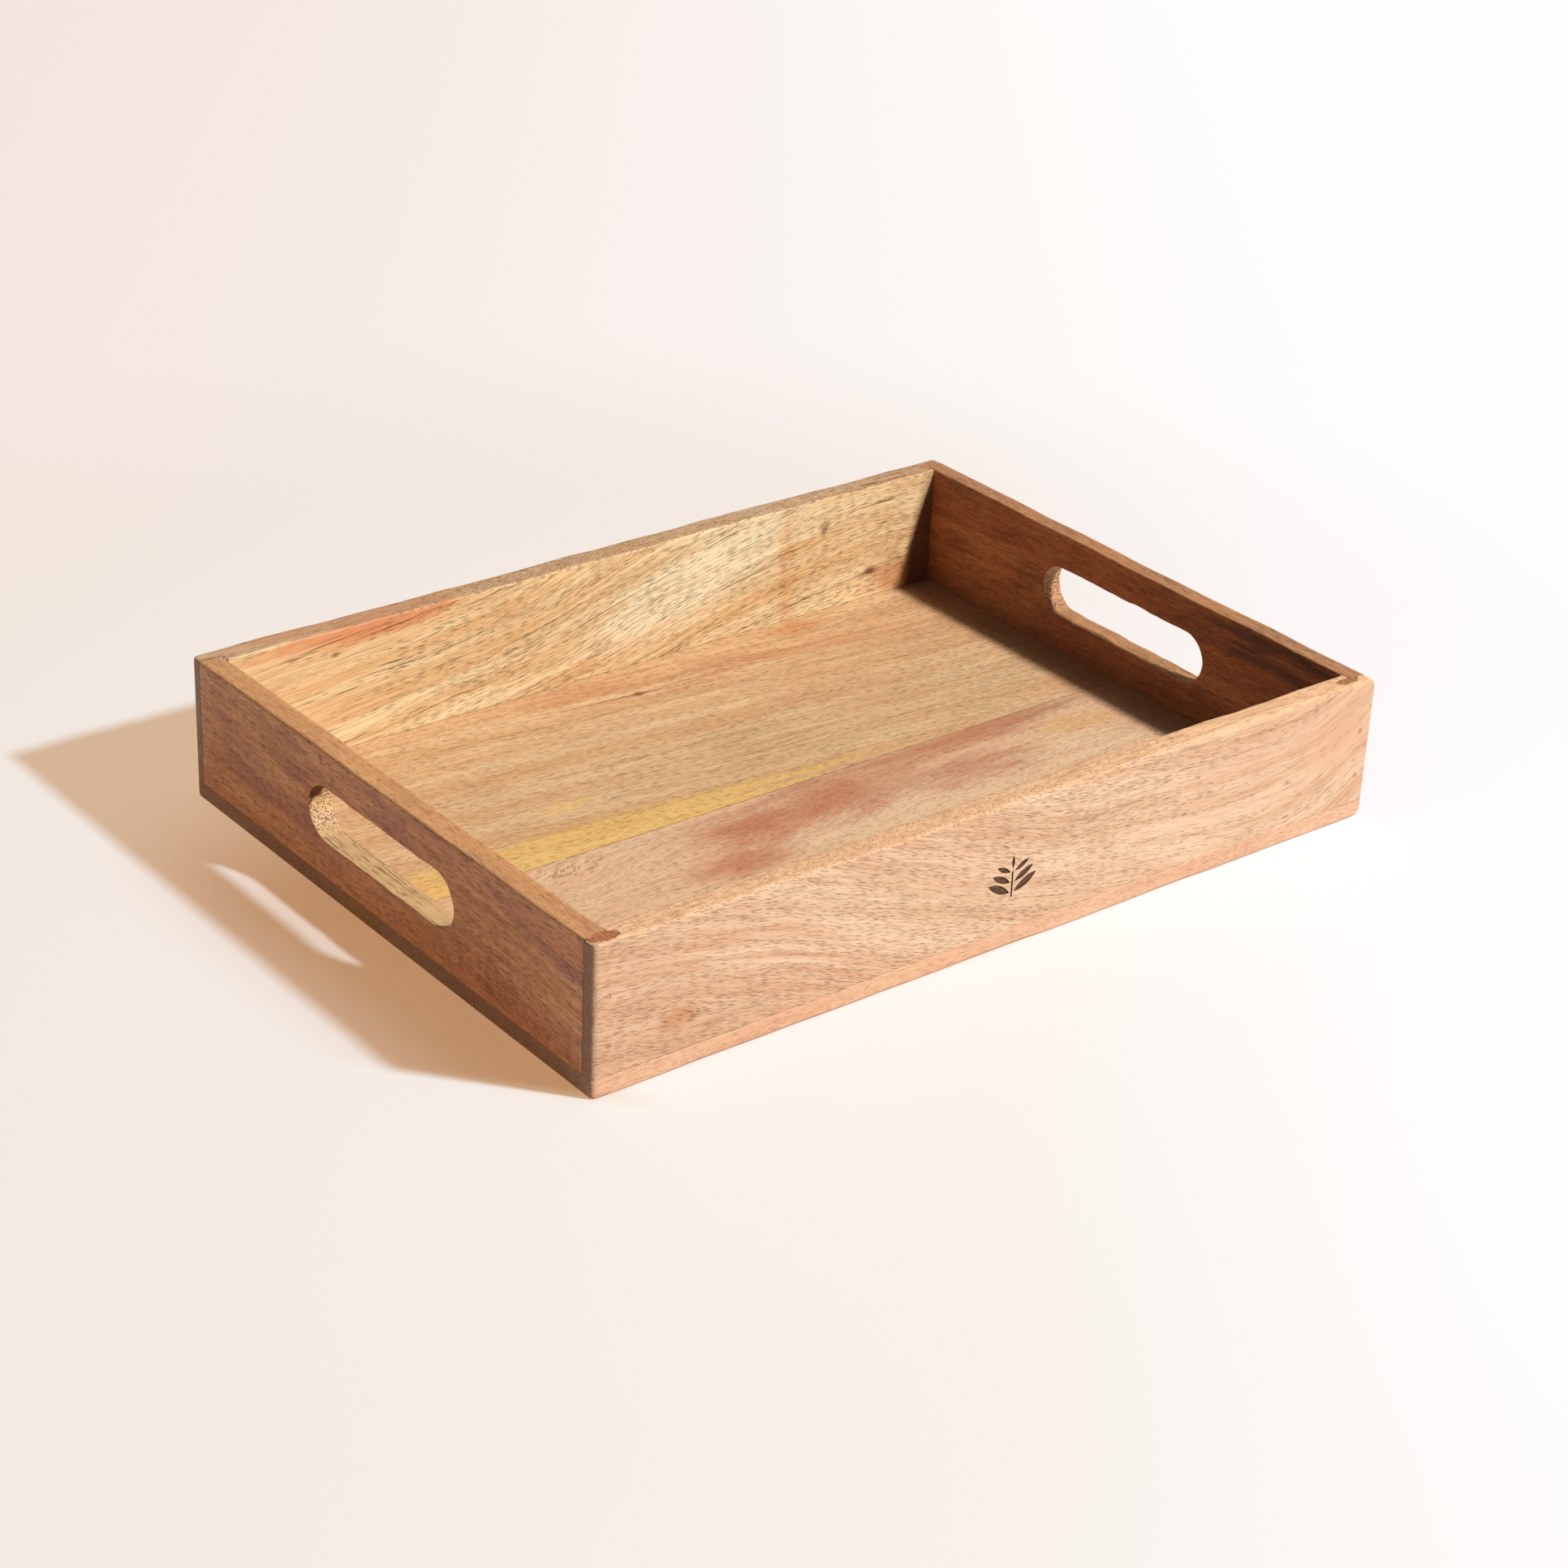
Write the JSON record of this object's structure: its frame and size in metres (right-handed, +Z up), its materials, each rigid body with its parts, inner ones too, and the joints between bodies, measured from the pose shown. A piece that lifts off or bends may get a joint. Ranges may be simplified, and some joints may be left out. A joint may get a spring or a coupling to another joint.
{
  "type": "serving tray",
  "caption": "Rectangular solid wood serving tray with a flat base, upright sides and a long hand slot in each end board.",
  "frame": {"origin": "centre of the flat underside", "axes": "+X along the tray's length, +Z up, -Y towards the side with the engraved sprig"},
  "size_m": [0.39, 0.28, 0.063],
  "materials": {
    "base_front_wood": "sanded, thin satin oil",
    "base_back_wood": "sanded, thin satin oil",
    "rail_wood": "sanded, thin satin oil",
    "end_board_wood": "sanded, thin satin oil",
    "brad_steel": "plain wire",
    "wood_filler": "sanded flush"
  },
  "bodies": {
    "root": {"base_plank_front": "base_front_wood", "base_plank_back": "base_back_wood", "front_rail": "rail_wood", "back_rail": "rail_wood", "left_end_board": "end_board_wood", "right_end_board": "end_board_wood", "corner_brads": "brad_steel", "brad_hole_fillers": "wood_filler", "base_brads": "brad_steel", "corner_joint_fillers": "wood_filler"}
  },
  "joints": []
}
